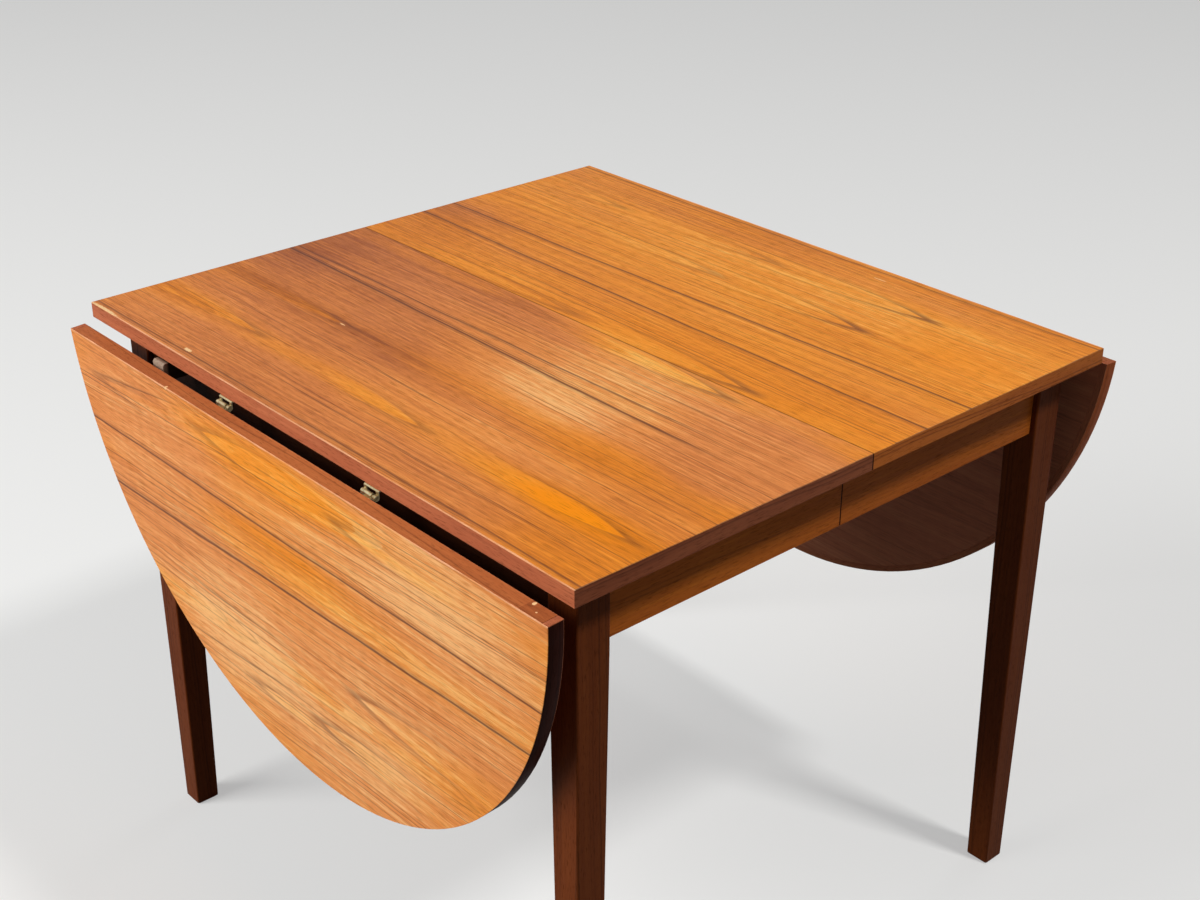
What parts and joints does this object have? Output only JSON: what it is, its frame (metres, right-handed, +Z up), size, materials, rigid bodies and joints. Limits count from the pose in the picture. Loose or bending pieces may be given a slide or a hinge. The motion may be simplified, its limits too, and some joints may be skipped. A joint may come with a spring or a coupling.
{
  "type": "extending dining table",
  "caption": "Teak dining table with a split top that slides apart on wooden runners, tapered legs and half-round drop leaves hinged at its ends.",
  "frame": {"origin": "on the floor under the middle of the closed top", "axes": "+X along the extension towards the far half, +Y along the seam and the hinge lines towards the back, +Z up"},
  "size_m": [0.8576, 0.884, 0.73],
  "materials": {
    "teak_veneer": "oiled satin",
    "edge_teak": "oiled satin",
    "leg_teak": "oiled satin",
    "apron_teak": "oiled satin",
    "plain_beech": "raw",
    "hinge_brass": "worn satin",
    "screw_steel": "dull"
  },
  "bodies": {
    "near_half": {"near_back_apron": "apron_teak", "near_back_hinge_top_plate": "hinge_brass", "near_back_leg": "leg_teak", "near_back_lipping": "edge_teak", "near_corner_braces": "plain_beech", "near_end_apron": "apron_teak", "near_end_lipping": "edge_teak", "near_frame_screws": "screw_steel", "near_front_apron": "apron_teak", "near_front_hinge_top_plate": "hinge_brass", "near_front_leg": "leg_teak", "near_front_lipping": "edge_teak", "near_groove_runner": "plain_beech", "near_hinge_pins": "hinge_brass", "near_hinge_top_screws": "screw_steel", "near_joint_lipping": "edge_teak", "near_loper_keepers": "plain_beech", "near_seam_pegs": "plain_beech", "near_tongue_runner": "plain_beech", "near_top_cleats": "plain_beech", "near_top_panel": "teak_veneer"},
    "far_half": {"far_back_apron": "apron_teak", "far_back_hinge_top_plate": "hinge_brass", "far_back_leg": "leg_teak", "far_back_lipping": "edge_teak", "far_corner_braces": "plain_beech", "far_end_apron": "apron_teak", "far_end_lipping": "edge_teak", "far_frame_screws": "screw_steel", "far_front_apron": "apron_teak", "far_front_hinge_top_plate": "hinge_brass", "far_front_leg": "leg_teak", "far_front_lipping": "edge_teak", "far_groove_runner": "plain_beech", "far_hinge_pins": "hinge_brass", "far_hinge_top_screws": "screw_steel", "far_joint_lipping": "edge_teak", "far_loper_keepers": "plain_beech", "far_seam_pegs": "plain_beech", "far_tongue_runner": "plain_beech", "far_top_cleats": "plain_beech", "far_top_panel": "teak_veneer"},
    "near_leaf": {"near_leaf_back_hinge_plate": "hinge_brass", "near_leaf_front_hinge_plate": "hinge_brass", "near_leaf_hinge_lipping": "edge_teak", "near_leaf_hinge_screws": "screw_steel", "near_leaf_panel": "teak_veneer", "near_leaf_rim_lipping": "edge_teak"},
    "far_leaf": {"far_leaf_back_hinge_plate": "hinge_brass", "far_leaf_front_hinge_plate": "hinge_brass", "far_leaf_hinge_lipping": "edge_teak", "far_leaf_hinge_screws": "screw_steel", "far_leaf_panel": "teak_veneer", "far_leaf_rim_lipping": "edge_teak"},
    "near_front_loper": {"near_front_loper": "plain_beech"},
    "near_back_loper": {"near_back_loper": "plain_beech"},
    "far_front_loper": {"far_front_loper": "plain_beech"},
    "far_back_loper": {"far_back_loper": "plain_beech"}
  },
  "joints": [
    {"name": "extension", "type": "slide", "parent": "near_half", "child": "far_half", "axis": [1, 0, 0], "range_m": [0, 0.5]},
    {"name": "near_leaf_hinge", "type": "hinge", "parent": "near_half", "child": "near_leaf", "pos_m": [-0.402, 0, 0.7033], "axis": [0, 1, 0], "range_deg": [-6, 93]},
    {"name": "far_leaf_hinge", "type": "hinge", "parent": "far_half", "child": "far_leaf", "pos_m": [0.402, 0, 0.7033], "axis": [0, -1, 0], "range_deg": [-6, 93]},
    {"name": "near_front_loper_slide", "type": "slide", "parent": "near_half", "child": "near_front_loper", "axis": [-1, 0, 0], "range_m": [0, 0.0433]},
    {"name": "near_back_loper_slide", "type": "slide", "parent": "near_half", "child": "near_back_loper", "axis": [-1, 0, 0], "range_m": [-0.0433, 0]},
    {"name": "far_front_loper_slide", "type": "slide", "parent": "far_half", "child": "far_front_loper", "axis": [1, 0, 0], "range_m": [0, 0.0433]},
    {"name": "far_back_loper_slide", "type": "slide", "parent": "far_half", "child": "far_back_loper", "axis": [1, 0, 0], "range_m": [0, 0.0433]}
  ]
}
